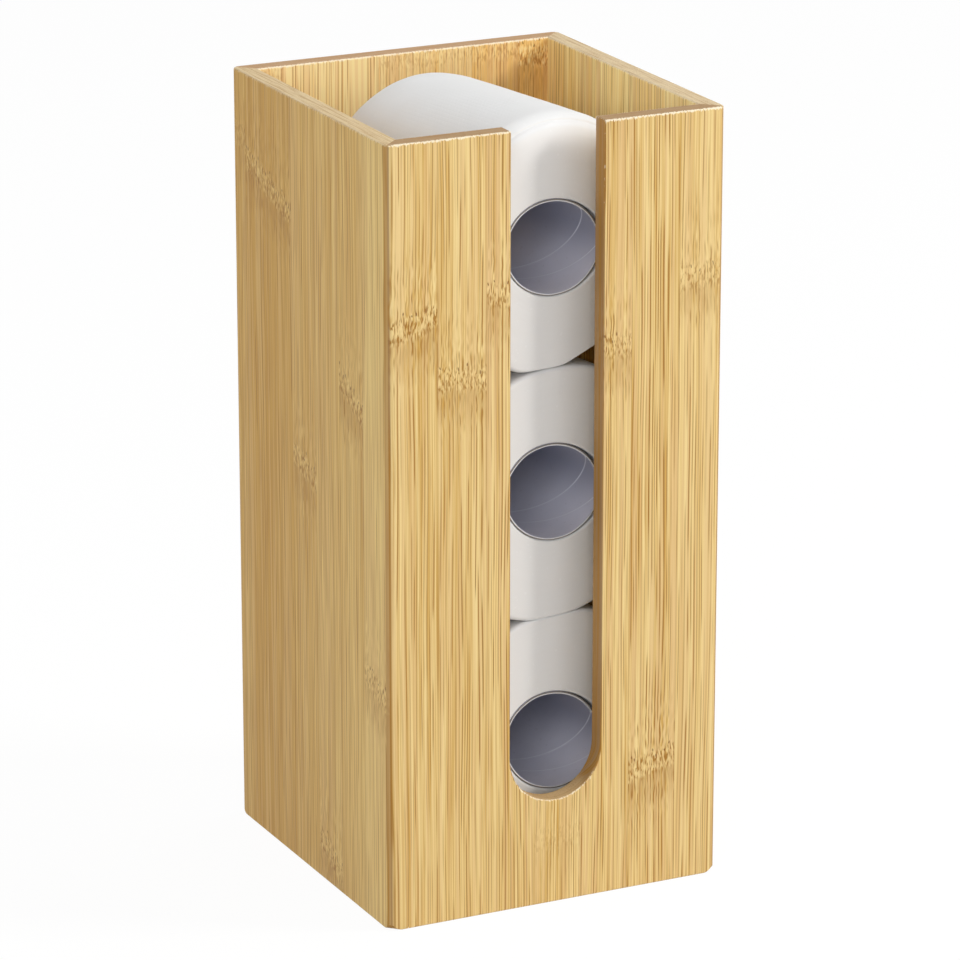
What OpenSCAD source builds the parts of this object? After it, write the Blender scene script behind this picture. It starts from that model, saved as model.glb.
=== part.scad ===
// Stand for spare toilet rolls, made of bamboo boards.
// Four upright boards are mitred into a square box with an open top. A base
// board sits in grooves a little above the floor. The front board has a long
// slot with a round foot. Three rolls lie on top of each other in the box,
// with their cores towards the slot, and lift out through the open top.
// The origin is at floor level under the middle of the box. The slot is at -Y.

/* [Stand] */
// Outside width of the stand, left to right
stand_w = 160; // [152:1:190]
// Outside depth of the stand, front to back
stand_d = 160; // [140:1:190]
// Height of the stand from the floor to the rim
stand_h = 350; // [320:1:420]
// Thickness of the four upright boards
board_t = 9; // [8:0.5:10]
// Radius of the four upright outer corners
corner_r = 3.5; // [1.5:0.5:4]
// Radius that takes the sharpness off the rim and the slot
edge_r = 0.8; // [0.4:0.1:1.2]
// Radius to which the four lower corners of the box are sanded
low_corner_r = 4; // [2:0.5:4.5]

/* [Slot] */
// Width of the slot in the front board
slot_w = 44; // [36:1:60]
// Height of the lowest point of the slot above the floor
slot_foot = 48; // [30:0.5:90]

/* [Base] */
// Thickness of the base board
base_t = 9; // [6:0.5:12]
// Height of the underside of the base board above the floor
base_lift = 5; // [3:0.5:15]
// Depth of the grooves that hold the base board
groove_depth = 4; // [2.5:0.5:5]
// Play of the base board in its grooves, on each side
groove_play = 0.15; // [0.05:0.05:0.3]

/* [Corner tongues] */
// Width of the wooden tongue across each mitre
tongue_w = 8; // [6:0.5:9]
// Thickness of the tongue
tongue_t = 2.5; // [2:0.25:3]
// Play of the tongue in its slots, on each side
tongue_play = 0.1; // [0.05:0.05:0.2]
// Distance of the tongue from the outer corner, along each face
tongue_inset = 6; // [5.5:0.1:6.5]
// Distance from the rim down to the upper end of the tongue
tongue_head = 25; // [10:1:60]
// Distance from the base board up to the lower end of the tongue
tongue_heel = 12; // [5:1:60]

/* [Rolls] */
// Diameter of a full roll
roll_d = 115; // [95:1:116]
// Width of the paper, which is the length of a roll
roll_w = 100; // [90:1:108]
// Radius of the soft outer edges of a roll
roll_edge_r = 5; // [2:0.5:8]
// Amount by which the flat sides, where a roll rests and carries, narrow it
roll_press = 3.9; // [0.5:0.1:5]
// Air between the flat sides of two stacked rolls
roll_clear = 0.3; // [0.2:0.1:0.6]
// Air under the flat side of the lowest roll, which rests on the base board
roll_seat = 0.03; // [0.02:0.01:0.1]
// Turn of the rolls in the box, seen from above
roll_turn = 10; // [0:0.5:10]
// Least gap between a roll and the inside of the front board
roll_gap = 0.8; // [0.4:0.1:4]
// Outside diameter of the cardboard core
core_d = 49; // [40:0.5:52]
// Wall of the cardboard core
core_wall = 1.3; // [0.8:0.1:2]
// Play between the core and the paper wound on it
core_play = 0.05; // [0.05:0.05:0.2]

/* [Hidden] */
$fn = 96;

// Overrun of a cut past the face that it leaves
cut = 1;
// How far in front of the upright arris the sanding of a lower corner starts
sand_off = 0.15;

half_w = stand_w / 2;
half_d = stand_d / 2;

slot_r = slot_w / 2;
slot_z = slot_foot + slot_r;

base_top = base_lift + base_t;
base_w = stand_w - 2 * board_t + 2 * groove_depth - 2 * groove_play;
base_d = stand_d - 2 * board_t + 2 * groove_depth - 2 * groove_play;

tongue_low = base_top + tongue_heel;
tongue_top = stand_h - tongue_head;

roll_r = roll_d / 2;
core_r = core_d / 2;
// From a roll's middle to its flat side, and from one roll's middle to the next
roll_flat = (roll_d - roll_press) / 2;
roll_step = 2 * roll_flat + roll_clear;
// Reach of a turned roll towards the front board, from its own middle
roll_reach = (roll_w / 2 - roll_edge_r) * cos(roll_turn)
    + (roll_r - roll_edge_r) * sin(roll_turn) + roll_edge_r;
roll_y = board_t + roll_gap + roll_reach - half_d;

BOTTOM = 0;
MIDDLE = BOTTOM + 1;
TOP = MIDDLE + 1;

function roll_z(level) = base_top + roll_seat + roll_flat + level * roll_step;

bamboo = "burlywood";
bamboo_edge = "tan";
paper = "whitesmoke";
cardboard = "slategray";

// Waste at a straight edge that leaves a rounded one. The edge runs up from
// the origin, and the wood lies towards +X and +Y.
module edge_waste(r, length) {
    linear_extrude(length) difference() {
        translate([-cut, -cut]) square(r + cut);
        translate([r, r]) circle(r);
    }
}

// The same waste along X, with the wood towards -Z and, from the edge, +Y
module rim_waste_x(length) {
    translate([-length / 2, 0, 0]) rotate([0, 90, 0]) edge_waste(edge_r, length);
}

// Waste round the rim where it follows the rounded corner at +X, -Y
module rim_corner_waste() {
    rotate([0, 0, -90]) rotate_extrude(angle = 90) difference() {
        translate([corner_r - edge_r, -edge_r]) square(edge_r + cut);
        translate([corner_r - edge_r, -edge_r]) circle(edge_r);
    }
}

// Waste at a lower corner of the box, which leaves it round over the mitre.
// The sharp corner is at the origin, with the wood towards -X, +Y and +Z.
module low_corner_waste() {
    width = 2 * (low_corner_r + corner_r);
    arris = corner_r * (sqrt(2) - 1) - sand_off;
    rotate([0, 0, -45]) translate([-arris, -width / 2, 0])
        rotate([90, 0, 180]) edge_waste(low_corner_r, width);
}

// Waste round the round foot of the slot, on a face at Z = 0 with the wood above
module slot_foot_waste() {
    rotate_extrude() difference() {
        translate([slot_r - cut, -cut]) square(edge_r + cut);
        translate([slot_r + edge_r, edge_r]) circle(edge_r);
    }
}

// Plan of a board along X. Its outer face is on Y = 0, its length there is
// w, and both ends are mitred.
module mitred_plan(w) {
    difference() {
        polygon([[-w / 2, 0], [w / 2, 0], [w / 2 - board_t, board_t], [board_t - w / 2, board_t]]);
        for (side = [-1, 1]) corner_waste_plan(w, side);
    }
}

// What rounding an upright corner takes off the end of a board
module corner_waste_plan(w, side) {
    mirror([side < 0 ? 1 : 0, 0]) translate([w / 2, 0]) difference() {
        translate([-corner_r, -cut]) square(corner_r + cut);
        translate([-corner_r, corner_r]) circle(corner_r);
    }
}

// Groove for the base board, across a board of length w
module base_groove(w) {
    inside = w - 2 * board_t + 2 * groove_depth;
    translate([-inside / 2, board_t - groove_depth, base_lift - groove_play])
        cube([inside, groove_depth + cut, base_t + 2 * groove_play]);
}

// A tongue across the mitre at the +X end of a board of length w
module tongue_shape(w, play) {
    translate([w / 2 - tongue_inset, tongue_inset, tongue_low - play])
        rotate([0, 0, 45])
            translate([-tongue_w / 2 - play, -tongue_t / 2 - play, 0])
                cube([tongue_w + 2 * play, tongue_t + 2 * play, tongue_top - tongue_low + 2 * play]);
}

// One upright board, lying along X with its outer face on Y = 0
module upright_board(w) {
    difference() {
        linear_extrude(stand_h) mitred_plan(w);
        base_groove(w);
        for (end = [0, 1]) mirror([end, 0, 0]) {
            tongue_shape(w, tongue_play);
            translate([w / 2 - corner_r, corner_r, stand_h]) rim_corner_waste();
            translate([w / 2, 0, 0]) low_corner_waste();
        }
        translate([0, 0, stand_h]) rim_waste_x(w);
        translate([0, board_t, stand_h]) mirror([0, 1, 0]) rim_waste_x(w);
        mirror([0, 0, 1]) rim_waste_x(w);
    }
}

// Everything the slot takes out of the front board, eased edges included
module slot_cut() {
    translate([0, -cut, slot_z]) rotate([-90, 0, 0]) cylinder(r = slot_r, h = board_t + 2 * cut);
    translate([-slot_r, -cut, slot_z]) cube([slot_w, board_t + 2 * cut, stand_h - slot_z + cut]);
    for (face = [0, 1]) translate([0, face * board_t, 0]) mirror([0, face, 0]) {
        translate([0, 0, slot_z]) rotate([-90, 0, 0]) slot_foot_waste();
        for (side = [0, 1]) mirror([side, 0, 0])
            translate([slot_r, 0, slot_z]) edge_waste(edge_r, stand_h - slot_z + cut);
    }
    for (side = [0, 1]) mirror([side, 0, 0])
        translate([slot_r, board_t + cut, stand_h]) rotate([90, 0, 0])
            mirror([0, 1, 0]) edge_waste(edge_r, board_t + 2 * cut);
}

module front_board() {
    color(bamboo) translate([0, -half_d, 0]) difference() {
        upright_board(stand_w);
        slot_cut();
    }
}

module back_board() {
    color(bamboo) rotate([0, 0, 180]) translate([0, -half_d, 0]) upright_board(stand_w);
}

module left_board() {
    color(bamboo) rotate([0, 0, -90]) translate([0, -half_w, 0]) upright_board(stand_d);
}

module right_board() {
    color(bamboo) rotate([0, 0, 90]) translate([0, -half_w, 0]) upright_board(stand_d);
}

module base_board() {
    color(bamboo_edge) translate([-base_w / 2, -base_d / 2, base_lift]) cube([base_w, base_d, base_t]);
}

module corner_tongues() {
    color(bamboo_edge) for (back = [0, 1]) mirror([0, back, 0])
        for (left = [0, 1]) mirror([left, 0, 0])
            translate([0, -half_d, 0]) tongue_shape(stand_w, 0);
}

// Puts what is round Z, from 0 to roll_w, in the place of a roll
module at_roll(level) {
    translate([0, roll_y, roll_z(level)]) rotate([0, 0, roll_turn]) rotate([90, 0, 0])
        translate([0, 0, -roll_w / 2]) children();
}

// Half section of the wound paper, with its soft outer edges
module winding_section() {
    bore_r = core_r + core_play;
    difference() {
        translate([bore_r, 0]) square([roll_r - bore_r, roll_w]);
        for (end = [0, 1]) translate([0, end * roll_w]) mirror([0, end]) difference() {
            translate([roll_r - roll_edge_r, -cut]) square(roll_edge_r + cut);
            translate([roll_r - roll_edge_r, roll_edge_r]) circle(roll_edge_r);
        }
    }
}

// Wound paper. It is pressed flat where it rests and where a roll rests on it.
module roll_paper(level) {
    crown = level == TOP ? roll_r + cut : roll_flat;
    color(paper) at_roll(level) intersection() {
        rotate_extrude() winding_section();
        translate([-roll_r - cut, -roll_flat, -cut])
            cube([roll_d + 2 * cut, roll_flat + crown, roll_w + 2 * cut]);
    }
}

module roll_core(level) {
    color(cardboard) at_roll(level) difference() {
        cylinder(r = core_r, h = roll_w);
        translate([0, 0, -cut]) cylinder(r = core_r - core_wall, h = roll_w + 2 * cut);
    }
}

module bottom_roll_paper() { roll_paper(BOTTOM); }
module bottom_roll_core() { roll_core(BOTTOM); }
module middle_roll_paper() { roll_paper(MIDDLE); }
module middle_roll_core() { roll_core(MIDDLE); }
module top_roll_paper() { roll_paper(TOP); }
module top_roll_core() { roll_core(TOP); }

front_board();
left_board();
right_board();
back_board();
base_board();
corner_tongues();
bottom_roll_paper();
bottom_roll_core();
middle_roll_paper();
middle_roll_core();
top_roll_paper();
top_roll_core();
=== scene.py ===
import math

import bpy
import numpy as np
from mathutils import Matrix, Vector


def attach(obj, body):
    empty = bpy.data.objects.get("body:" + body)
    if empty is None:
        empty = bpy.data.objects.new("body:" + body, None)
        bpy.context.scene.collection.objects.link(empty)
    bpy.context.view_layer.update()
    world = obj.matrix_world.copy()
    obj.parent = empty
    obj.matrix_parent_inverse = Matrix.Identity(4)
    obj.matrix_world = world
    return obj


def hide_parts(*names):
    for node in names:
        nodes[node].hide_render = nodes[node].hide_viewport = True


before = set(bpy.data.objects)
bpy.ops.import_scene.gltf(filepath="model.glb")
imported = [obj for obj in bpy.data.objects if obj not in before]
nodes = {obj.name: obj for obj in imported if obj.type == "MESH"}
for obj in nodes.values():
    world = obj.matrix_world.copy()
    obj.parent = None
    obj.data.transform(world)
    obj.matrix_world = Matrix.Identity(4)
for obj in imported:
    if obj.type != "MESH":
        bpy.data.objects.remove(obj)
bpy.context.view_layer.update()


# The view. The camera stands 2.3 m away, 26 degrees to the left of the front and 18 degrees
# up, with a long lens, so that the upright edges of the box stay nearly parallel.

def into_scene(name, data):
    """A new object of that mesh, lamp or camera, put in the scene."""
    made = bpy.data.objects.new(name, data)
    bpy.context.scene.collection.objects.link(made)
    return made


view_turn = math.radians(26.02)
view_rise = math.radians(17.71)
view_distance = 2.3024
looked_at = Vector((0.00243, 0, 0.17098))
towards_camera = Vector((
    -math.sin(view_turn) * math.cos(view_rise),
    -math.cos(view_turn) * math.cos(view_rise),
    math.sin(view_rise),
))
camera = into_scene("camera", bpy.data.cameras.new("camera"))
camera.data.sensor_width = 36
camera.data.lens = 195.1
camera.data.clip_end = 60
camera.location = looked_at + towards_camera * view_distance
camera.rotation_euler = (-towards_camera).to_track_quat("-Z", "Y").to_euler()
bpy.context.scene.camera = camera


# Front board. Bamboo strips 23 mm wide, glued side by side with their fibres upright, sanded
# smooth and sealed with a thin satin lacquer. The slot is cut through it before the mitres are
# glued, and its arrises are sanded by hand, so they show a thin pale line that breaks up; that
# line is partly paler sanded wood and partly a painted highlight where the arrises catch the
# light. The cut walls of the slot are painted darker, partly as painted shade.

def feed(tree, value, socket):
    """Leads a socket into another one, or sets a plain value there."""
    if isinstance(value, bpy.types.NodeSocket):
        tree.links.new(value, socket)
    else:
        socket.default_value = value


def work(tree, operation, *values):
    """One step of arithmetic on sockets or numbers."""
    node = tree.nodes.new("ShaderNodeMath")
    node.operation = operation
    for value, socket in zip(values, node.inputs):
        feed(tree, value, socket)
    return node.outputs[0]


def step_of(operation):
    """A function that puts one such step into a tree."""
    return lambda tree, *values: work(tree, operation, *values)


# size drops the sign, and slope gives the first value times the second, plus the third.
plus, minus, times, over = step_of("ADD"), step_of("SUBTRACT"), step_of("MULTIPLY"), step_of("DIVIDE")
least, most = step_of("MINIMUM"), step_of("MAXIMUM")
size, slope, power = step_of("ABSOLUTE"), step_of("MULTIPLY_ADD"), step_of("POWER")


def apart(tree, first, second):
    """How far two numbers lie apart."""
    return size(tree, minus(tree, first, second))


def long_side(tree, first, second):
    """The long side of a right angle with these two short ones."""
    return work(tree, "SQRT", slope(tree, first, first, times(tree, second, second)))


def mean(tree, share, first, second):
    """The number that lies at that share of the way from the first to the second."""
    return slope(tree, share, minus(tree, second, first), first)


def ease(tree, value, none, full):
    """0 where the value is at none, 1 where it is at full, and smooth between them."""
    node = tree.nodes.new("ShaderNodeMapRange")
    node.interpolation_type = "SMOOTHSTEP"
    for number, socket in zip((value, none, full), node.inputs):
        feed(tree, number, socket)
    return node.outputs[0]


def point(tree, x, y, z):
    node = tree.nodes.new("ShaderNodeCombineXYZ")
    for value, socket in zip((x, y, z), node.inputs):
        feed(tree, value, socket)
    return node.outputs[0]


def parts(tree, place):
    node = tree.nodes.new("ShaderNodeSeparateXYZ")
    feed(tree, place, node.inputs[0])
    return node.outputs


def cloud(tree, place, detail=0.0, warp=0.0):
    """Smooth noise from 0 to 1, with one soft spot to each unit of the place."""
    node = tree.nodes.new("ShaderNodeTexNoise")
    feed(tree, place, node.inputs["Vector"])
    node.inputs["Scale"].default_value = 1.0
    node.inputs["Detail"].default_value = detail
    node.inputs["Distortion"].default_value = warp
    return node.outputs[0]


def lots(tree, x, y, z):
    """Three numbers drawn from 0 to 1, always the same for the same x, y and z."""
    node = tree.nodes.new("ShaderNodeTexWhiteNoise")
    node.noise_dimensions = "3D"
    feed(tree, point(tree, x, y, z), node.inputs["Vector"])
    return parts(tree, node.outputs["Color"])


def tint(tree, share, first, second):
    node = tree.nodes.new("ShaderNodeMix")
    node.data_type = "RGBA"
    for value, socket in zip((share, first, second), (node.inputs[0], node.inputs[6], node.inputs[7])):
        feed(tree, value, socket)
    return node.outputs[2]


def dye(red, green, blue):
    """A colour as it is seen, from 0 to 255, turned into the light that a surface gives back."""
    seen = [c / 255 for c in (red, green, blue)]
    return tuple(c / 12.92 if c <= 0.04045 else ((c + 0.055) / 1.055) ** 2.4 for c in seen) + (1.0,)


def recipe(name, given, made):
    """A new node group: the tree, the sockets that it is given and the sockets that it fills."""
    tree = bpy.data.node_groups.new(name, "ShaderNodeTree")
    for title, kind, value in given:
        socket = tree.interface.new_socket(title, in_out="INPUT", socket_type="NodeSocket" + kind)
        if value is not None:
            socket.default_value = value
    for title, kind in made:
        tree.interface.new_socket(title, in_out="OUTPUT", socket_type="NodeSocket" + kind)
    return tree, tree.nodes.new("NodeGroupInput").outputs, tree.nodes.new("NodeGroupOutput").inputs


def use(tree, group, **values):
    """Places a node group in a tree. An underscore in a name stands for a space."""
    node = tree.nodes.new("ShaderNodeGroup")
    node.node_tree = group
    for title, value in values.items():
        feed(tree, value, node.inputs[title.replace("_", " ")])
    return node.outputs


knuckle_reach = 400
strip_width = 23.0


def strip_grain():
    """The grain of bamboo strips glued side by side. X runs across them and Z along their fibres.

    The colour of Knuckles gives, for the strip at hand, the height of its knuckle as a share of
    knuckle_reach in mm, how plain the knuckle is, and how far it slants.
    """
    bundle_apart, dot_apart, speck_apart = 1.4, 2.1, 0.75
    tree, given, made = recipe("bamboo_strips", (
        ("Place", "Vector", None), ("Facing", "Vector", None), ("Knuckles", "Color", None),
        ("Strip Tone", "Float", 0.5), ("Batch", "Float", 0.0), ("First Joint", "Float", 0.0),
        ("Strip Width", "Float", strip_width), ("Contrast", "Float", 1.0),
        ("Side From", "Float", 0.75), ("Reach Below", "Float", 36.0),
        ("Pale", "Color", dye(240, 212, 148)), ("Gold", "Color", dye(203, 156, 74)),
        ("Rosy", "Color", dye(224, 186, 130)), ("Dark", "Color", dye(166, 116, 46)),
        ("Cut Side", "Color", dye(170, 134, 92)), ("Cut End", "Color", dye(196, 161, 122)),
        ("Foot End", "Color", dye(206, 172, 128)),
    ), (("Colour", "Color"), ("Height", "Float"), ("Roughness", "Float")))
    batch, contrast = given["Batch"], given["Contrast"]
    x, y, z = (times(tree, axis, 1000) for axis in parts(tree, given["Place"]))
    across = plus(tree, x, y)

    # Each strip comes from its own cane.
    place_in_row = over(tree, minus(tree, x, given["First Joint"]), given["Strip Width"])
    strip = work(tree, "FLOOR", place_in_row)
    from_middle = minus(tree, work(tree, "FRACT", place_in_row), 0.5)
    rosy_lot = lots(tree, strip, batch, 0.0)[0]
    cane = slope(tree, strip, 13.7, times(tree, batch, 5.1))

    # How far a spot lies above its strip's knuckle, and how close to it.
    share, strength, lean = parts(tree, given["Knuckles"])
    slant = times(tree, times(tree, from_middle, given["Strip Width"]), slope(tree, lean, 2.0, -1.0))
    ripple = cloud(tree, point(tree, over(tree, across, 2.2), over(tree, z, 9), cane), 1.0)
    off = minus(tree, plus(tree, z, slant), times(tree, share, knuckle_reach))
    off = plus(tree, off, slope(tree, ripple, 6.0, -3.0))
    near = times(tree, ease(tree, off, 44.0, 4.0),
                 ease(tree, off, times(tree, given["Reach Below"], -1.0), -8.0))
    near = times(tree, near, times(tree, strength, 0.8))

    # Fibres run straight and long. Close to a knuckle they cross and break up into spindles.
    wave = cloud(tree, point(tree, over(tree, across, 1.5), over(tree, z, 6), cane))
    bend = cloud(tree, point(tree, over(tree, across, 60), over(tree, z, 90), cane))
    along = slope(tree, minus(tree, wave, 0.5), times(tree, near, 1.3), across)
    along = slope(tree, minus(tree, bend, 0.5), 1.6, along)

    def fibres(width, length, seed, detail=0.0):
        """Soft streaks of about that width and length in mm, from -0.5 to 0.5."""
        place = point(tree, over(tree, along, width), over(tree, z, length), plus(tree, cane, seed))
        return minus(tree, cloud(tree, place, detail), 0.5)

    fine, middling, broad = fibres(0.5, 120, 0, 1.0), fibres(1.9, 260, 31), fibres(7.0, 400, 57)
    spindle = fibres(0.62, 8, 71, 1.0)
    threads = mean(tree, near, fine, slope(tree, fine, 0.6, spindle))
    tone = given["Strip Tone"]
    for layer, weight in ((threads, 2.0), (middling, 0.6), (broad, 0.5)):
        tone = slope(tree, layer, times(tree, contrast, weight), tone)
    colour = tint(tree, ease(tree, tone, 0.0, 1.0), given["Gold"], given["Pale"])
    blush = ease(tree, fibres(1.6, 200, 47), -0.02, 0.12)
    blush = times(tree, blush, slope(tree, rosy_lot, 0.4, 0.3))
    colour = tint(tree, blush, colour, given["Rosy"])

    # Bundles of hard fibres show as thin darker lines that come and go.
    row = plus(tree, over(tree, along, bundle_apart), times(tree, fibres(5.0, 180, 83), 2.0))
    bundle = work(tree, "FLOOR", row)
    weight_lot, long_lot, _ = lots(tree, bundle, strip, batch)
    own_place = times(tree, bundle, 3.7)
    long_run = cloud(tree, point(tree, own_place, over(tree, z, 42), long_lot))
    short_run = cloud(tree, point(tree, own_place, over(tree, z, 6.5), long_lot))
    run = ease(tree, mean(tree, near, long_run, short_run), 0.38, 0.6)
    line = ease(tree, apart(tree, work(tree, "FRACT", row), 0.5), 0.3, 0.1)
    line = times(tree, line, times(tree, run, slope(tree, weight_lot, 0.65, 0.35)))
    dark_thread = times(tree, line, contrast)
    colour = tint(tree, dark_thread, colour, given["Dark"])
    glue_line = ease(tree, size(tree, from_middle), 0.484, 0.4965)
    colour = tint(tree, times(tree, glue_line, 0.3), colour, given["Dark"])

    # The knuckle: short dark strokes between pale ones, a brown shade under them and a row of dots.
    zone = times(tree, ease(tree, size(tree, off), 7.0, 3.5), strength)
    mottle = point(tree, over(tree, along, 0.6), over(tree, z, 3.0), plus(tree, cane, 9))
    mottle = cloud(tree, mottle, 1.0)
    under = times(tree, ease(tree, off, 2.0, -6.0), ease(tree, off, -26.0, -8.0))
    under = times(tree, times(tree, under, strength), slope(tree, spindle, 1.4, 0.3))
    colour = tint(tree, most(tree, under, 0.0), colour, given["Dark"])
    gleam = times(tree, ease(tree, mottle, 0.48, 0.38), zone)
    colour = tint(tree, times(tree, gleam, 0.7), colour, given["Pale"])
    strokes = times(tree, ease(tree, mottle, 0.52, 0.64), zone)
    colour = tint(tree, times(tree, strokes, 0.95), colour, given["Dark"])
    in_dots = over(tree, across, dot_apart)
    lift_lot, drift_lot, there_lot = lots(tree, work(tree, "FLOOR", in_dots), strip, batch)
    dot_x = slope(tree, minus(tree, work(tree, "FRACT", in_dots), 0.5), dot_apart,
                  slope(tree, drift_lot, 0.8, -0.4))
    dot_z = times(tree, minus(tree, off, slope(tree, lift_lot, 5.0, 2.0)), 0.5)
    dots = ease(tree, long_side(tree, dot_x, dot_z), 0.45, 0.2)
    dots = times(tree, dots, work(tree, "GREATER_THAN", there_lot, 0.5))
    dots = times(tree, dots, ease(tree, strength, 0.3, 0.8))
    colour = tint(tree, times(tree, dots, 0.8), colour, dye(120, 72, 28))

    # A side cut by the saw and then sanded takes the lacquer in, and so turns darker and duller.
    # On the slot walls that darker colour is also painted shade.
    nx, _, nz = (size(tree, axis) for axis in parts(tree, given["Facing"]))
    cut_side_and_shade = ease(tree, nx, given["Side From"], plus(tree, given["Side From"], 0.2))
    side_shade = ease(tree, plus(tree, fine, middling), -0.3, 0.2)
    side_colour = tint(tree, side_shade, given["Dark"], given["Cut Side"])
    colour = tint(tree, times(tree, cut_side_and_shade, 0.85), colour, side_colour)

    # Where the fibres are cut across, their ends show as fine brown specks in the ground.
    cut_end = ease(tree, nz, 0.6, 0.85)
    specks = tree.nodes.new("ShaderNodeTexVoronoi")
    specks.inputs["Scale"].default_value = 1.0
    speck_place = point(tree, over(tree, x, speck_apart), over(tree, y, speck_apart), batch)
    feed(tree, speck_place, specks.inputs["Vector"])
    fleck = times(tree, ease(tree, specks.outputs["Distance"], 0.42, 0.15),
                  cloud(tree, point(tree, over(tree, x, 5), over(tree, y, 5), cane)))
    plies = cloud(tree, point(tree, over(tree, x, 22), over(tree, y, 0.9), batch), 1.0)
    end_colour = tint(tree, ease(tree, z, 90.0, 50.0), given["Cut End"], given["Foot End"])
    end_colour = tint(tree, times(tree, ease(tree, plies, 0.4, 0.75), 0.5), end_colour, given["Dark"])
    end_colour = tint(tree, times(tree, fleck, 0.7), end_colour, given["Dark"])
    feed(tree, tint(tree, cut_end, colour, end_colour), made["Colour"])

    relief = slope(tree, threads, 0.5, times(tree, middling, 0.2))
    relief = minus(tree, relief, times(tree, dark_thread, 0.25))
    relief = minus(tree, relief, times(tree, strokes, 0.35))
    feed(tree, mean(tree, cut_end, relief, minus(tree, 0.5, fleck)), made["Height"])
    dull = most(tree, cut_end, cut_side_and_shade)
    feed(tree, mean(tree, dull, slope(tree, fine, 0.2, 0.46), 0.66), made["Roughness"])
    return tree


def sanded_and_lit_arrises():
    """Sanded arrises, partly painted highlight where they catch the light: 1 on them, in broken spots.
    """
    tree, given, made = recipe("sanded_and_lit_arrises", (
        ("Place", "Vector", None), ("Line", "Float", 0.9), ("Slot Half", "Float", 22.0),
        ("Breaks", "Float", 1.0),
    ), (("Wear And Highlight", "Float"),))
    outer_half, inner_half, box_height, foot_middle = 80.0, 71.0, 350.0, 70.0
    x, y, z = (times(tree, axis, 1000) for axis in parts(tree, given["Place"]))
    ax, ay = size(tree, x), size(tree, y)
    outside = least(tree, minus(tree, outer_half, ax), minus(tree, outer_half, ay))
    inside_x = most(tree, apart(tree, ax, inner_half), minus(tree, ay, inner_half))
    inside_y = most(tree, apart(tree, ay, inner_half), minus(tree, ax, inner_half))
    under_rim = apart(tree, box_height, z)
    rim = most(tree, least(tree, outside, least(tree, inside_x, inside_y)), under_rim)
    foot = most(tree, outside, z)
    over_foot = work(tree, "GREATER_THAN", z, foot_middle)
    round_foot = long_side(tree, x, minus(tree, z, foot_middle))
    from_slot = apart(tree, mean(tree, over_foot, round_foot, ax), given["Slot Half"])
    slot_face = least(tree, size(tree, plus(tree, y, outer_half)), size(tree, plus(tree, y, inner_half)))
    slot = most(tree, from_slot, least(tree, slot_face, under_rim))
    high_up, low_down = ease(tree, z, 240.0, box_height), ease(tree, z, 66.0, 54.0)
    slot = plus(tree, slot, mean(tree, low_down, mean(tree, high_up, 1.3, 0.8), 0.3))
    nearest = least(tree, least(tree, rim, plus(tree, foot, 0.6)), slot)
    breaks = cloud(tree, point(tree, over(tree, x, 0.6), over(tree, y, 0.6), over(tree, z, 2.4)), 1.0)
    nearest = slope(tree, minus(tree, breaks, 0.5), times(tree, given["Breaks"], 2.6), nearest)
    feed(tree, ease(tree, nearest, given["Line"], times(tree, given["Line"], 0.35)), made["Wear And Highlight"])
    return tree


bamboo_strips = strip_grain()
arris_wear_and_highlight = sanded_and_lit_arrises()


def knuckle_plan(tree, across, first_joint, width, knuckles):
    """What the strip at hand is like, from a list of knuckle height in mm, strength, slant and tone."""
    count = len(knuckles)
    strip = work(tree, "FLOOR", over(tree, slope(tree, across, 1000, -first_joint), width))
    ramp = tree.nodes.new("ShaderNodeValToRGB")
    ramp.color_ramp.interpolation = "CONSTANT"
    feed(tree, over(tree, plus(tree, strip, 0.5), count), ramp.inputs[0])
    stops = ramp.color_ramp.elements
    for number, (height, strength, slant, tone) in enumerate(knuckles):
        stop = stops[number] if number < 2 else stops.new(number / count)
        stop.position = number / count
        stop.color = (height / knuckle_reach, strength, 0.5 + slant / 2, tone)
    return ramp.outputs


def new_material(name):
    """A new material, its tree and its shader."""
    material = bpy.data.materials.new(name)
    material.use_nodes = True
    return material, material.node_tree, material.node_tree.nodes["Principled BSDF"]


def raise_relief(tree, height, shader, strength, distance):
    """Gives a surface fine relief, with the height in units of the distance in metres."""
    bump = tree.nodes.new("ShaderNodeBump")
    bump.inputs["Strength"].default_value = strength
    bump.inputs["Distance"].default_value = distance
    feed(tree, height, bump.inputs["Height"])
    feed(tree, bump.outputs["Normal"], shader.inputs["Normal"])


def bamboo(name, batch, lies, first_joint, width, knuckles, slot_half=900.0, wear_and_highlight=0.5, **looks):
    """Lacquered bamboo. lies gives the axes of the width, the thickness and the fibres."""
    material, tree, shader = new_material(name)
    spot = tree.nodes.new("ShaderNodeTexCoord")
    place = parts(tree, spot.outputs["Object"])
    facing = parts(tree, spot.outputs["Normal"])
    across, through, fibre = ("XYZ".index(axis) for axis in lies)
    plan = knuckle_plan(tree, place[across], first_joint, width, knuckles)
    grain = use(tree, bamboo_strips, Batch=batch, First_Joint=first_joint, Strip_Width=width,
                Place=point(tree, place[across], place[through], place[fibre]),
                Facing=point(tree, facing[across], facing[through], facing[fibre]),
                Knuckles=plan[0], Strip_Tone=plan[1], **looks)
    arris_highlight_and_wear = use(tree, arris_wear_and_highlight, Place=spot.outputs["Object"], Slot_Half=slot_half)
    share = times(tree, arris_highlight_and_wear["Wear And Highlight"], wear_and_highlight)
    # The arrises are painted pale: partly paler sanded wood, partly a painted highlight.
    feed(tree, tint(tree, share, grain["Colour"], dye(250, 238, 212)), shader.inputs["Base Color"])
    feed(tree, grain["Roughness"], shader.inputs["Roughness"])
    raise_relief(tree, grain["Height"], shader, 0.5, 0.00016)
    shader.inputs["Specular IOR Level"].default_value = 0.2
    shader.inputs["Coat Weight"].default_value = 0.04
    shader.inputs["Coat Roughness"].default_value = 0.35
    return material


def dress(name, material):
    """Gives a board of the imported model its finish."""
    for slot in nodes[name].material_slots:
        slot.material = material


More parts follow.
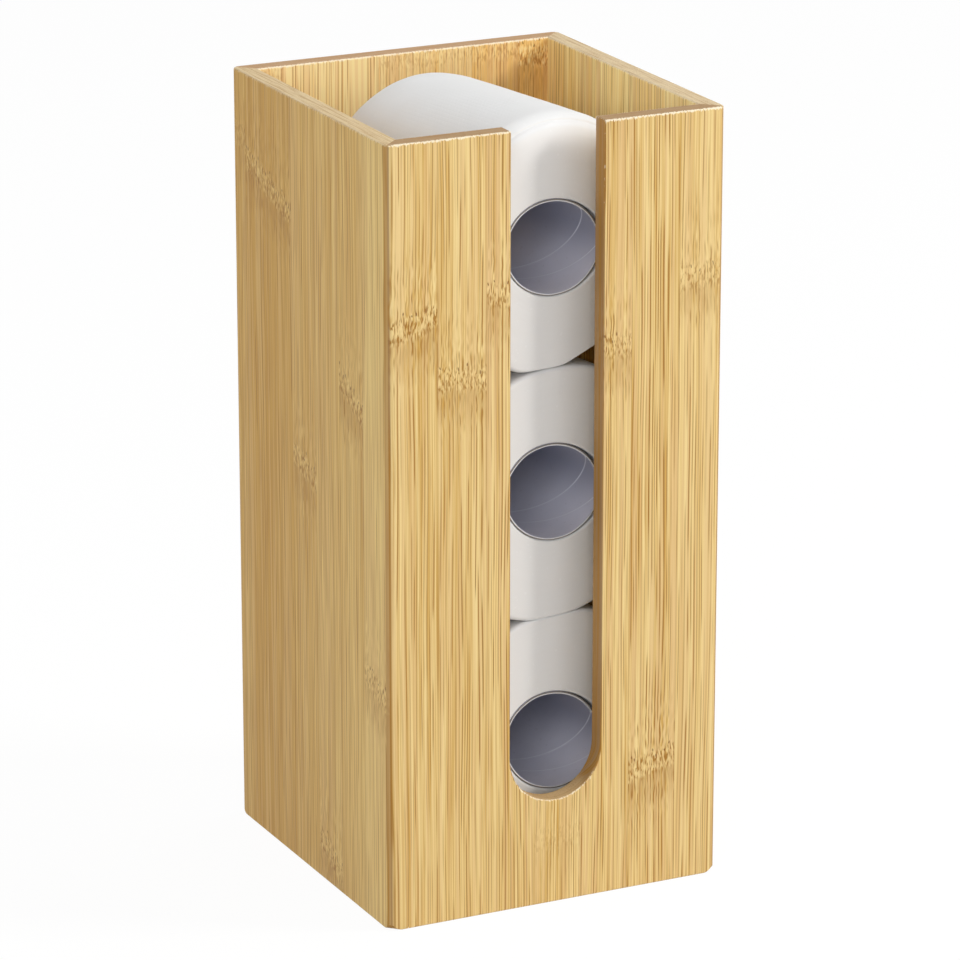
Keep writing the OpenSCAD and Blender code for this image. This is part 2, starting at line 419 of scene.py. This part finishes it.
front_knuckles = (
    (271, 1.0, -0.3, 0.64), (245, 0.9, 0.1, 0.66), (278, 0.8, 0.2, 0.63), (30, 0.25, 0.0, 0.66),
    (251, 0.8, 0.1, 0.66), (57, 1.0, -0.3, 0.64), (277, 0.7, 0.0, 0.68), (170, 0.3, 0.1, 0.66),
)
dress("front_board", bamboo(
    "bamboo_front", 3, "XYZ", -79.4, strip_width, front_knuckles, slot_half=22.0, wear_and_highlight=0.85,
    Side_From=0.4, Cut_Side=dye(160, 124, 84), Cut_End=dye(178, 146, 106),
    Foot_End=dye(212, 180, 132)))


# Left and right boards. The same glued strips, from other canes, with the fibres upright too.
# Their cut ends on the rim are paler than those of the front, and finely specked.
side_strip_width = 24.3
left_knuckles = (
    (108, 0.9, -0.4, 0.85), (232, 1.0, -0.5, 0.5), (14, 1.0, -0.5, 0.5), (187, 0.9, -0.3, 0.35),
    (301, 1.0, -0.35, 0.15), (309, 1.0, -0.35, 0.0), (321, 0.5, 0.0, 0.25),
)
dress("left_board", bamboo(
    "bamboo_left", 11, "YXZ", -80.2, side_strip_width, left_knuckles, wear_and_highlight=0.25, Contrast=0.9,
    Side_From=0.1, Pale=dye(238, 207, 134), Gold=dye(204, 157, 74), Rosy=dye(222, 184, 118),
    Cut_Side=dye(186, 148, 96), Cut_End=dye(228, 204, 160)))
right_knuckles = (
    (196, 0.7, -0.2, 0.5), (64, 0.8, 0.3, 0.6), (262, 0.5, 0.0, 0.4), (128, 0.9, 0.2, 0.5),
    (18, 0.4, 0.0, 0.55), (226, 0.8, -0.4, 0.45), (92, 0.6, 0.1, 0.5),
)
# The right board's colours are painted lighter than the left's: painted light that stands in for light
# bounced onto its inner face.
dress("right_board", bamboo(
    "bamboo_right", 17, "YXZ", -84.0, side_strip_width, right_knuckles, wear_and_highlight=0.35, Contrast=0.85,
    Side_From=0.1, Pale=dye(255, 236, 172), Gold=dye(240, 200, 120),
    Cut_Side=dye(190, 152, 100), Cut_End=dye(230, 208, 168)))


# Back board. It closes the box, and the two side boards are glued to it in mitres as in front.
# Seen over the top roll, its inner face shows bright upright fibres and a row of knuckles. Its
# colours are painted lighter and warmer than the front's: painted light that stands in for the
# light bounced round inside the box.
back_knuckles = (
    (348, 0.3, 0.0, 0.85), (120, 0.7, 0.2, 0.9), (210, 0.6, -0.2, 0.85), (348, 0.35, 0.1, 0.75),
    (348, 0.45, -0.1, 0.6), (347, 0.5, 0.0, 0.35), (342, 0.9, 0.1, 0.15),
)
dress("back_board", bamboo(
    "bamboo_back", 23, "XYZ", -82.0, strip_width, back_knuckles, wear_and_highlight=0.75, Side_From=0.4,
    Contrast=0.75, Reach_Below=14.0, Pale=dye(255, 232, 170), Gold=dye(242, 194, 112),
    Rosy=dye(236, 192, 136), Dark=dye(184, 124, 64)))


# Base board. It lies 5 mm off the floor in a groove round the four walls, with its fibres
# running from left to right. Only its lacquered lower and upper faces can be seen.
base_knuckles = (
    (12, 0.7, 0.1, 0.5), (42, 0.8, -0.2, 0.55), (26, 0.5, 0.2, 0.45), (4, 0.8, 0.0, 0.5),
    (66, 0.6, 0.3, 0.5), (50, 0.7, 0.0, 0.4), (20, 0.4, 0.0, 0.5),
)
dress("base_board", bamboo(
    "bamboo_base", 31, "YZX", -80.0, strip_width, base_knuckles, wear_and_highlight=0.0, Contrast=0.8,
    Cut_End=dye(214, 184, 140)))


# Corner tongues. Four thin slips of bamboo, glued into saw cuts across the mitres to hold them.
# They are of the same bamboo with a plainer grain, and no face of theirs shows in the glued box.
tongue_knuckles = ((210, 0.5, 0.0, 0.5), (90, 0.5, 0.0, 0.5))
dress("corner_tongues", bamboo(
    "bamboo_tongues", 41, "XYZ", -90.0, 90.0, tongue_knuckles, wear_and_highlight=0.0, Contrast=0.6,
    Cut_End=dye(205, 172, 128)))


# Wound paper of the three rolls. Soft two-ply tissue, wound on a core. Its end faces show the
# layers as faint rings, its outer edges are soft, and the weight above presses flat sides on it.
roll_radius = 0.0575
roll_width = 0.100
roll_flat = 0.05555
roll_turn = math.radians(10)
roll_middle_y = -0.0117671
roll_heights = {"bottom": 0.06958, "middle": 0.18098, "top": 0.29238}


def press(wide, low, tilt):
    """How an oval that is so much wider and lower, and leans, moves the points of a round tube."""
    lean = math.radians(tilt)
    c, s = math.cos(lean), math.sin(lean)
    return (wide * c * c + low * s * s - 1, (wide - low) * c * s, wide * s * s + low * c * c - 1)


# The load presses each core oval and a little out of the middle of its roll.
core_press = {
    "bottom": press(1.108, 0.900, -23.7) + (-0.0005, -0.0017),
    "middle": press(1.078, 0.883, -18.4) + (-0.0011, 0.0014),
    "top": press(1.053, 0.864, -13.1) + (-0.0017, -0.0006),
}


def winding():
    """The Geometry Nodes tree of one roll of paper, with its axis along Z and its top at +Y."""
    tree = bpy.data.node_groups.new("wound_paper", "GeometryNodeTree")
    sweep_radius, flat_ease, slit_margin = 0.04, 0.0006, 0.006
    for title, kind, value in (
        ("Roll Radius", "Float", roll_radius), ("Bore Radius", "Float", 0.0246),
        ("Width", "Float", roll_width), ("Edge Radius", "Float", 0.0021),
        ("Lip Radius", "Float", 0.0006), ("Flat Below", "Float", roll_flat),
        ("Flat Above", "Float", roll_flat), ("Fuller Below", "Float", 0.0),
        ("Fuller Above", "Float", 0.0), ("Soft Top", "Float", 0.0),
        ("Soft Radius", "Float", 0.010), ("Dent", "Float", 0.0),
        ("Wider", "Float", 0.0), ("Skew", "Float", 0.0), ("Higher", "Float", 0.0),
        ("Aside", "Float", 0.0), ("Up", "Float", 0.0), ("Gap", "Float", 0.0027),
        ("Tail Angle", "Float", 2.5), ("Tail Step", "Float", 0.0006),
        ("Sheet Length", "Float", 0.120), ("Slits In A Row", "Int", 25),
        ("Softness", "Float", 0.0004), ("Ring Relief", "Float", 0.00016),
        ("Seed", "Float", 1.0), ("Tissue", "Material", None),
    ):
        socket = tree.interface.new_socket(title, in_out="INPUT", socket_type="NodeSocket" + kind)
        if value is not None:
            socket.default_value = value
    tree.interface.new_socket("Geometry", in_out="OUTPUT", socket_type="NodeSocketGeometry")
    given = tree.nodes.new("NodeGroupInput").outputs
    roll_r, bore_r, width = given["Roll Radius"], given["Bore Radius"], given["Width"]

    def node(kind, **values):
        made = tree.nodes.new(kind)
        for title, value in values.items():
            feed(tree, value, made.inputs[title.replace("_", " ")])
        return made

    # The section through the winding, swept round the core.
    section = node("GeometryNodeCurvePrimitiveQuadrilateral", Width=minus(tree, roll_r, bore_r),
                   Height=width)
    at = node("GeometryNodeInputPosition").outputs[0]
    outer = work(tree, "GREATER_THAN", parts(tree, at)[0], 0.0)
    soft = node("GeometryNodeFilletCurve", Curve=section.outputs[0],
                Radius=mean(tree, outer, given["Lip Radius"], given["Edge Radius"]))
    soft.mode = "POLY"
    soft.inputs["Count"].default_value = 10
    even = node("GeometryNodeResampleCurve", Curve=soft.outputs[0], Count=330)
    half_up = times(tree, plus(tree, roll_r, bore_r), 0.5)
    moved = node("GeometryNodeTransform", Geometry=even.outputs[0],
                 Translation=point(tree, minus(tree, half_up, sweep_radius), 0.0, 0.0))
    ring = node("GeometryNodeCurvePrimitiveCircle", Resolution=224, Radius=sweep_radius)
    swept = node("GeometryNodeCurveToMesh", Curve=ring.outputs[0], Profile_Curve=moved.outputs[0])

    # The last sheet ends in a small step, and the paper is a little uneven all over.
    x, y, z = parts(tree, at)
    r = long_side(tree, x, y)
    way_x, way_y = over(tree, x, r), over(tree, y, r)
    turn = work(tree, "ARCTAN2", y, x)
    half_width, deep = times(tree, width, 0.5), size(tree, z)
    crown = ease(tree, r, minus(tree, roll_r, 0.008), minus(tree, roll_r, 0.001))
    wind = work(tree, "FRACT", over(tree, minus(tree, turn, given["Tail Angle"]), 2 * math.pi))
    drop = times(tree, times(tree, minus(tree, 1.0, wind), given["Tail Step"]), crown)
    dent_place = point(tree, slope(tree, way_x, 1.6, given["Seed"]), times(tree, way_y, 1.6),
                       over(tree, z, 0.05))
    crease_place = point(tree, slope(tree, way_x, 5.0, given["Seed"]), times(tree, way_y, 5.0),
                         over(tree, z, 0.016))
    near_edge = ease(tree, deep, minus(tree, half_width, 0.035), half_width)
    creases = times(tree, cloud(tree, crease_place, 1.0, 0.6), slope(tree, near_edge, 0.7, 0.15))
    slack = times(tree, given["Softness"], plus(tree, cloud(tree, dent_place, 1.0), creases))

    # The front edge of a roll that carries nothing stays rounder along its top.
    over_r = most(tree, plus(tree, minus(tree, r, roll_r), given["Soft Radius"]), 0.0)
    over_z = most(tree, plus(tree, minus(tree, deep, half_width), given["Soft Radius"]), 0.0)
    span = long_side(tree, over_r, over_z)
    kept = over(tree, most(tree, over_r, over_z), most(tree, span, 0.000001))
    soft_here = times(tree, ease(tree, way_y, 0.0, 0.7), given["Soft Top"])
    soft_here = times(tree, soft_here, mean(tree, ease(tree, z, -0.02, 0.02), 0.25, 1.0))
    lost = times(tree, minus(tree, 1.0, kept), soft_here)
    off_r, off_z = times(tree, over_r, lost), times(tree, over_z, lost)
    new_r = minus(tree, minus(tree, r, drop), slope(tree, slack, crown, off_r))

    # The layers show as rings on the end faces.
    wobble = times(tree, cloud(tree, point(tree, way_x, way_y, given["Seed"])), 1.2)
    rings = cloud(tree, point(tree, plus(tree, over(tree, r, 0.0021), wobble), given["Seed"],
                              ease(tree, z, -0.01, 0.01)), 1.0)
    on_face = ease(tree, deep, minus(tree, half_width, 0.0008), minus(tree, half_width, 0.0001))
    back = slope(tree, times(tree, rings, given["Ring Relief"]), on_face, off_z)
    new_z = minus(tree, z, times(tree, back, work(tree, "SIGN", z)))
    wound = node("GeometryNodeSetPosition", Geometry=swept.outputs[0],
                 Position=point(tree, times(tree, way_x, new_r), times(tree, way_y, new_r), new_z))

    # Flat sides, where it rests and where a roll rests on it.
    x, y, z = parts(tree, at)
    level = work(tree, "SMOOTH_MIN", y, given["Flat Above"], flat_ease)
    level = work(tree, "SMOOTH_MAX", level, times(tree, given["Flat Below"], -1.0), flat_ease)

    # What the flats press away stands out beside them. One roll is dented at its lower front.
    in_upper = work(tree, "GREATER_THAN", y, 0.0)
    fuller = times(tree, mean(tree, in_upper, given["Fuller Below"], given["Fuller Above"]),
                   ease(tree, size(tree, y), 0.035, 0.0555))
    dented = mean(tree, times(tree, given["Dent"], ease(tree, z, -0.02, 0.03)), -0.07,
                  slope(tree, x, 0.37, -0.0554))
    level = work(tree, "SMOOTH_MAX", level, dented, 0.002)

    # The load also presses the mouth of the winding oval, and leaves a gap on one side of the core.
    r = long_side(tree, x, y)
    near_bore = ease(tree, r, 0.047, bore_r)
    gap = times(tree, power(tree, most(tree, over(tree, x, r), 0.0), 2.0), given["Gap"])
    wider = slope(tree, x, given["Wider"], slope(tree, y, given["Skew"], given["Aside"]))
    higher = slope(tree, y, given["Higher"], slope(tree, x, given["Skew"], given["Up"]))
    x = slope(tree, near_bore, plus(tree, wider, gap), slope(tree, x, fuller, x))
    level = slope(tree, near_bore, higher, level)
    pressed = node("GeometryNodeSetPosition", Geometry=wound.outputs[0],
                   Position=point(tree, x, level, z))

    # Three rows of perforation slits, one for each sheet in the outer turn, set on the paper.
    a_row = given["Slits In A Row"]
    slits = node("GeometryNodeMeshLine", Count=times(tree, a_row, 3.0))
    order = node("GeometryNodeInputIndex").outputs[0]
    row = work(tree, "FLOOR", over(tree, plus(tree, order, 0.5), a_row))
    in_row = minus(tree, order, times(tree, row, a_row))
    sheet_angle = over(tree, given["Sheet Length"], roll_r)
    angle = minus(tree, given["Tail Angle"], times(tree, plus(tree, row, 0.03), sheet_angle))
    step = over(tree, minus(tree, width, 2 * slit_margin), a_row)
    slit_z = minus(tree, times(tree, plus(tree, in_row, 0.5), step),
                   minus(tree, half_width, slit_margin))
    slit_at = point(tree, times(tree, work(tree, "COSINE", angle), roll_r),
                    times(tree, work(tree, "SINE", angle), roll_r), slit_z)
    nearest = node("GeometryNodeProximity", Geometry=pressed.outputs[0], Sample_Position=slit_at)
    nearest.target_element = "FACES"
    placed = node("GeometryNodeSetPosition", Geometry=slits.outputs[0],
                  Position=nearest.outputs["Position"])
    lips = node("GeometryNodeMeshIcoSphere", Radius=1.0, Subdivisions=2)
    facing = node("FunctionNodeAxisAngleToRotation", Axis=(0, 0, 1), Angle=angle)
    rows = node("GeometryNodeInstanceOnPoints", Points=placed.outputs[0], Instance=lips.outputs["Mesh"],
                Rotation=facing.outputs[0], Scale=(0.00012, 0.0003, 0.0011))
    both = node("GeometryNodeJoinGeometry")
    tree.links.new(rows.outputs[0], both.inputs[0])
    tree.links.new(pressed.outputs[0], both.inputs[0])
    real = node("GeometryNodeRealizeInstances", Geometry=both.outputs[0])
    smooth = node("GeometryNodeSetShadeSmooth", Geometry=real.outputs[0])
    finished = node("GeometryNodeSetMaterial", Geometry=smooth.outputs[0], Material=given["Tissue"])
    tree.links.new(finished.outputs[0], tree.nodes.new("NodeGroupOutput").inputs[0])
    return tree


def pulp():
    """Fine short fibres and small flecks, as in tissue and in grey board."""
    tree, given, made = recipe("pulp_fibres", (
        ("Place", "Vector", None), ("Fibre", "Float", 0.5), ("Fleck Share", "Float", 0.3),
    ), (("Cloud", "Float"), ("Fibres", "Float"), ("Flecks", "Float")))
    x, y, z = (times(tree, axis, 1000) for axis in parts(tree, given["Place"]))

    def spots(width, detail, warp=0.0):
        return cloud(tree, point(tree, *(over(tree, axis, width) for axis in (x, y, z))), detail, warp)

    feed(tree, spots(14, 2.0), made["Cloud"])
    feed(tree, spots(given["Fibre"], 2.0, 1.5), made["Fibres"])
    flecks = ease(tree, spots(2.1, 1.0), 0.68, 0.76)
    feed(tree, times(tree, flecks, given["Fleck Share"]), made["Flecks"])
    return tree


pulp_fibres = pulp()
into_roll = Matrix.Rotation(-roll_turn, 4, "Z")


def roll_place(tree, middle):
    """The place and the facing in a roll's own directions: Y is its axis, with the front at -Y."""
    spot = tree.nodes.new("ShaderNodeTexCoord")
    centred = tree.nodes.new("ShaderNodeMapping")
    centred.inputs["Rotation"].default_value = (0, 0, -roll_turn)
    centred.inputs["Location"].default_value = into_roll @ -middle
    feed(tree, spot.outputs["Object"], centred.inputs["Vector"])
    turned = tree.nodes.new("ShaderNodeMapping")
    turned.inputs["Rotation"].default_value = (0, 0, -roll_turn)
    feed(tree, spot.outputs["Normal"], turned.inputs["Vector"])
    return centred.outputs[0], turned.outputs[0]


def tissue(name, middle, folded):
    """White tissue: embossed in faint dimples outside, and finely layered on the end faces.

    Folded, from 0 to 1, is how plainly a bunch of soft folds shows across the top of the roll.
    """
    layer_depth, outer_turn, dimple_turns = 0.42, 56.5, 1.35
    material, tree, shader = new_material(name)
    place, facing = roll_place(tree, middle)
    fibres = use(tree, pulp_fibres, Place=place, Fibre=0.45, Fleck_Share=0.5)
    x, y, z = (times(tree, axis, 1000) for axis in parts(tree, place))
    face = ease(tree, size(tree, parts(tree, facing)[1]), 0.8, 0.95)
    r = long_side(tree, x, z)
    wave = times(tree, cloud(tree, point(tree, over(tree, x, 15), over(tree, z, 15), 0.0)), 1.5)
    layer = apart(tree, work(tree, "FRACT", over(tree, plus(tree, r, wave), layer_depth)), 0.5)
    loose = cloud(tree, point(tree, over(tree, r, 1.4), over(tree, x, 30), over(tree, z, 30)), 1.0)

    # The dimples lie where two sets of slanting waves on the outer turn meet.
    around = times(tree, work(tree, "ARCTAN2", z, x), outer_turn)
    dimple_a = work(tree, "SINE", times(tree, plus(tree, around, y), dimple_turns))
    dimple_b = work(tree, "SINE", times(tree, minus(tree, around, y), dimple_turns))
    dimples = ease(tree, times(tree, dimple_a, dimple_b), 0.35, 0.9)
    shade = slope(tree, fibres["Cloud"], 0.35, times(tree, times(tree, loose, face), 0.3))
    colour = tint(tree, shade, dye(239, 239, 239), dye(228, 227, 225))
    # The end faces are painted a little warmer and darker: painted shade that stands in for warm light
    # bounced off the bamboo.
    colour = tint(tree, times(tree, face, 0.6), colour, dye(237, 234, 230))
    colour = tint(tree, times(tree, fibres["Flecks"], 0.5), colour, dye(250, 250, 248))
    feed(tree, colour, shader.inputs["Base Color"])

    # The folds run in a shallow curve behind the front edge and fade out to both sides.
    fold_at = slope(tree, times(tree, x, x), 0.004, slope(tree, x, 0.3, -15.5))
    from_fold = slope(tree, fibres["Cloud"], 5.0, minus(tree, y, fold_at))
    fold = times(tree, ease(tree, size(tree, from_fold), 4.5, 1.5), ease(tree, size(tree, x), 24, 8))
    uneven = cloud(tree, point(tree, over(tree, x, 7), over(tree, y, 2.5), 4.0))
    fold = times(tree, fold, times(tree, ease(tree, uneven, 0.35, 0.65), folded))
    fold = times(tree, fold, work(tree, "SINE", times(tree, from_fold, 1.6)))

    outside = slope(tree, fibres["Fibres"], 0.25, times(tree, dimples, -0.22))
    ends = slope(tree, layer, 0.3, slope(tree, loose, 0.3, times(tree, fibres["Fibres"], 0.12)))
    raise_relief(tree, mean(tree, face, plus(tree, fold, outside), ends), shader, 0.35, 0.0003)
    feed(tree, slope(tree, fibres["Fibres"], 0.1, 0.85), shader.inputs["Roughness"])
    shader.inputs["Specular IOR Level"].default_value = 0.15
    shader.inputs["Sheen Weight"].default_value = 0.15
    shader.inputs["Sheen Roughness"].default_value = 0.6
    return material


# The bottom roll carries two and lies flat at both sides. The middle one keeps nearly round on top,
# and the top one, which carries none, is soft there and dented below.
loads = {
    "bottom": {"Seed": 3.7, "Flat Below": 0.05555, "Flat Above": 0.05565, "Fuller Above": 0.20},
    "middle": {"Seed": 8.2, "Flat Below": 0.05565, "Flat Above": 0.05740, "Fuller Below": 0.13,
               "Fuller Above": 0.20},
    "top": {"Seed": 14.6, "Flat Below": 0.05370, "Flat Above": 0.07, "Soft Top": 1.0, "Dent": 1.0},
}
wound_paper = winding()
dials = {item.name: item.identifier for item in wound_paper.interface.items_tree
         if item.in_out == "INPUT"}
lay_down = Matrix.Rotation(roll_turn, 4, "Z") @ Matrix.Rotation(math.pi / 2, 4, "X")
for level, height in roll_heights.items():
    middle = Vector((0, roll_middle_y, height))
    pattern = into_scene(level + "_winding", bpy.data.meshes.new(level + "_winding"))
    shape = pattern.modifiers.new("winding", "NODES")
    shape.node_group = wound_paper
    for dial, value in loads[level].items():
        shape[dials[dial]] = value
    for dial, value in zip(("Wider", "Skew", "Higher", "Aside", "Up"), core_press[level]):
        shape[dials[dial]] = value
    shape[dials["Tissue"]] = tissue(level + "_tissue", middle, 1.0 if level == "top" else 0.0)
    evaluated = pattern.evaluated_get(bpy.context.evaluated_depsgraph_get())
    paper_mesh = bpy.data.meshes.new_from_object(evaluated)
    bpy.data.objects.remove(pattern)
    paper_mesh.transform(Matrix.Translation(middle) @ lay_down)
    paper_roll = into_scene(level + "_paper", paper_mesh)
    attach(paper_roll, level + "_roll")
    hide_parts(level + "_roll_paper")


# Cores of the three rolls. Grey board in two plies, wound in a spiral and glued, then cut to
# length, so the seams run round the inside and the two rims show the cut plies, the pale inner
# one partly as a painted highlight. Inside, each core is painted darker towards its top, as
# painted shade.
core_inner = 0.0232
core_outer = 0.0245
core_lead = -0.120
seam_apart = 23 / 160


def core_tube(name, middle, pressed, seam_turn, seed):
    """A tube with a small step along each of its two spiral seams, and slightly rough rims."""
    around, along, along_outside, waves = 160, 64, 16, 12
    rim_round, ply_step, roughness, set_back = 0.0003, 0.00018, 0.00006, 0.0002
    draw = np.random.default_rng(seed)
    phase = np.arange(around) / around
    step = ply_step * phase + 0.00008 * ((phase + seam_apart) % 1.0)
    rough = draw.uniform(-1, 1, (2, waves))

    # The section: radius, place along the tube, and the share of the inner and the outer face.
    end_at = roll_width / 2 - rim_round
    wall_half = (core_outer - core_inner) / 2
    wall_middle = core_inner + wall_half
    rim = [(math.cos(a), math.sin(a)) for a in np.linspace(math.pi, 0, 9)]
    section = [(core_inner, end_at * (2 * k / along - 1), 1.0, 0.0) for k in range(along + 1)]
    section += [(wall_middle + c * wall_half, end_at + s * rim_round, max(0.0, -c), max(0.0, c))
                for c, s in rim]
    section += [(core_outer, end_at * (1 - 2 * k / along_outside), 0.0, 1.0)
                for k in range(along_outside + 1)]
    section += [(wall_middle + c * wall_half, -end_at - s * rim_round, max(0.0, -c), max(0.0, c))
                for c, s in reversed(rim)]

    wider, skew, higher, aside, up = pressed
    corners = []
    for r, y, inner, outer in section:
        angle = 2 * math.pi * (phase + seam_turn + y / core_lead)
        radius = r + step * inner - 0.4 * step * outer
        near_end = max(0.0, abs(y) / (roll_width / 2) - 0.985) / 0.015
        saw = sum(rough[int(y >= 0)][n] * np.cos((n + 1) * angle) for n in range(waves))
        x, z = np.cos(angle) * radius, np.sin(angle) * radius
        corners.append(np.stack([
            x + wider * x + skew * z + aside,
            y + saw * roughness * near_end - np.sign(y) * set_back * near_end,
            z + skew * x + higher * z + up], 1))
    count = len(section)
    faces = []
    for k in range(count):
        for n in range(around):
            m, after = (n + 1) % around, (k + 1) % count
            faces.append((k * around + n, k * around + m, after * around + m, after * around + n))
    mesh = bpy.data.meshes.new(name)
    mesh.from_pydata(np.concatenate(corners).tolist(), [], faces)
    mesh.transform(Matrix.Translation(middle) @ Matrix.Rotation(roll_turn, 4, "Z"))
    mesh.shade_smooth()
    mesh.validate()
    return into_scene(name, mesh)


def grey_board(name, middle, pressed, seam_turn):
    """Grey recycled board: lighter seam lines, paler cut rims partly as painted highlight, painted shade
    up top.
    """
    material, tree, shader = new_material(name)
    place, facing = roll_place(tree, middle)
    fibres = use(tree, pulp_fibres, Place=place, Fibre=0.7, Fleck_Share=1.0)

    # The place that a spot had on the tube before it was pressed oval.
    wider, skew, higher, aside, up = pressed
    wide, low = 1 + wider, 1 + higher
    off_x, y, off_z = parts(tree, place)
    off_x, off_z = minus(tree, off_x, aside), minus(tree, off_z, up)
    share = wide * low - skew * skew
    x = slope(tree, off_x, low / share, times(tree, off_z, -skew / share))
    z = slope(tree, off_z, wide / share, times(tree, off_x, -skew / share))

    turn = over(tree, work(tree, "ARCTAN2", z, x), 2 * math.pi)
    pitch = minus(tree, turn, plus(tree, over(tree, y, core_lead), seam_turn))
    from_seam = size(tree, work(tree, "WRAP", pitch, 0.5, -0.5))
    from_ply = size(tree, work(tree, "WRAP", plus(tree, pitch, seam_apart), 0.5, -0.5))
    from_seam = least(tree, from_seam, times(tree, from_ply, 1.3))
    seam = times(tree, ease(tree, from_seam, 0.0042, 0.0016), times(tree, fibres["Cloud"], 1.2))
    cut = ease(tree, size(tree, parts(tree, facing)[1]), 0.4, 0.8)
    colour = tint(tree, fibres["Cloud"], dye(232, 232, 245), dye(220, 220, 233))
    # Painted shade: the tube is painted darker towards its top.
    colour = tint(tree, ease(tree, z, -0.019, 0.008), colour, dye(166, 169, 187))
    colour = tint(tree, times(tree, fibres["Flecks"], 0.12), colour, dye(150, 146, 146))
    colour = tint(tree, times(tree, seam, 0.95), colour, dye(244, 248, 255))
    # The rims show two plies: the pale inner one partly as a painted highlight, the outer one
    # grey-brown.
    outer_ply = ease(tree, long_side(tree, x, z), core_inner + 0.0005, core_inner + 0.0008)
    rim_colour = tint(tree, outer_ply, dye(246, 247, 250), dye(132, 125, 118))
    rim_colour = tint(tree, times(tree, fibres["Fibres"], 0.4), rim_colour, dye(128, 118, 108))
    feed(tree, tint(tree, cut, colour, rim_colour), shader.inputs["Base Color"])
    relief = slope(tree, fibres["Fibres"], 0.25, times(tree, seam, -0.6))
    raise_relief(tree, relief, shader, 0.4, 0.0002)
    feed(tree, slope(tree, fibres["Fibres"], 0.15, 0.6), shader.inputs["Roughness"])
    shader.inputs["Specular IOR Level"].default_value = 0.3
    return material


core_turns = {"bottom": -120 / 360, "middle": -108 / 360, "top": -99 / 360}
for number, (level, height) in enumerate(roll_heights.items()):
    middle = Vector((0, roll_middle_y, height))
    pressed, seam_turn = core_press[level], core_turns[level]
    core = core_tube(level + "_core", middle, pressed, seam_turn, 5 + number)
    core.data.materials.append(grey_board(level + "_board", middle, pressed, seam_turn))
    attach(core, level + "_roll")
    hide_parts(level + "_roll_core")


# Floor. A plain white table that runs out of sight, so the box stands on white with only the
# soft shadow of its foot. It isn't part of the object.

def seen_plainly(tree):
    """1 where the camera sees it, also in a mirror or through a pane, and 0 for other light."""
    ray = tree.nodes.new("ShaderNodeLightPath").outputs
    return most(tree, ray["Is Camera Ray"], most(tree, ray["Is Glossy Ray"], ray["Is Transmission Ray"]))


def white_ground(name, shadow):
    """White paint that keeps that share of the shadows on it where the camera sees it."""
    material, tree, shader = new_material(name)
    grain = cloud(tree, tree.nodes.new("ShaderNodeTexCoord").outputs["Object"], 2.0)
    feed(tree, tint(tree, grain, dye(214, 214, 214), dye(211, 211, 211)), shader.inputs["Base Color"])
    shader.inputs["Roughness"].default_value = 0.9
    shader.inputs["Specular IOR Level"].default_value = 0.1
    glow = tree.nodes.new("ShaderNodeEmission")
    glow.inputs["Strength"].default_value = 1.05
    blended = tree.nodes.new("ShaderNodeMixShader")
    feed(tree, times(tree, seen_plainly(tree), 1 - shadow), blended.inputs[0])
    tree.links.new(shader.outputs[0], blended.inputs[1])
    tree.links.new(glow.outputs[0], blended.inputs[2])
    tree.links.new(blended.outputs[0], tree.nodes["Material Output"].inputs["Surface"])
    return material


floor_reach = 20
floor_mesh = bpy.data.meshes.new("floor")
floor_mesh.from_pydata([(floor_reach * a, floor_reach * b, 0) for a, b in (
    (-1, -1), (1, -1), (1, 1), (-1, 1))], [], [(0, 1, 2, 3)])
floor_mesh.materials.append(white_ground("floor_white", 0.1))
floor = into_scene("floor", floor_mesh)


# Light. A soft square lamp stands to the right of the front, 33 degrees up. Larger and weaker
# ones stand round the box, one of them by the camera, and the white room gives the rest.
lit_middle = Vector((0, 0, 0.2))


def lamp(name, turn, rise, distance, side, level, colour):
    """A square lamp that turns its face to the box. Level 1 lights a surface that faces it fully."""
    light = bpy.data.lights.new(name, "AREA")
    light.shape = "SQUARE"
    light.size = side
    light.color = colour
    light.energy = level * math.pi ** 2 * distance ** 2
    turn, rise = math.radians(turn), math.radians(rise)
    way = Vector((math.sin(turn) * math.cos(rise), -math.cos(turn) * math.cos(rise), math.sin(rise)))
    stand = into_scene(name, light)
    stand.location = lit_middle + way * distance
    stand.rotation_euler = (-way).to_track_quat("-Z", "Y").to_euler()


lamp("key", 59, 33, 2.5, 0.55, 0.53, (1.0, 0.99, 0.97))
lamp("right_top", 105, 60, 2.5, 1.3, 0.14, (1.0, 1.0, 1.0))
lamp("left", -74, 32, 2.5, 1.3, 0.16, (1.0, 0.99, 0.97))
lamp("fill", -29, 25, 2.6, 1.3, 0.19, (0.98, 0.99, 1.0))
lamp("low", 24, 12, 2.6, 1.3, 0.055, (0.98, 0.99, 1.0))

world = bpy.data.worlds.new("white_room")
bpy.context.scene.world = world
world.use_nodes = True
sky = world.node_tree
back = sky.nodes["Background"]
upwards = parts(sky, sky.nodes.new("ShaderNodeTexCoord").outputs["Generated"])[2]
seen = seen_plainly(sky)
room = mean(sky, ease(sky, upwards, 0.0, 0.8), 0.8, 0.25)
feed(sky, tint(sky, seen, (0.97, 0.985, 1.0, 1.0), (1.0, 1.0, 1.0, 1.0)), back.inputs["Color"])
feed(sky, mean(sky, seen, room, 1.0), back.inputs["Strength"])

bpy.context.scene.view_settings.view_transform = "Standard"
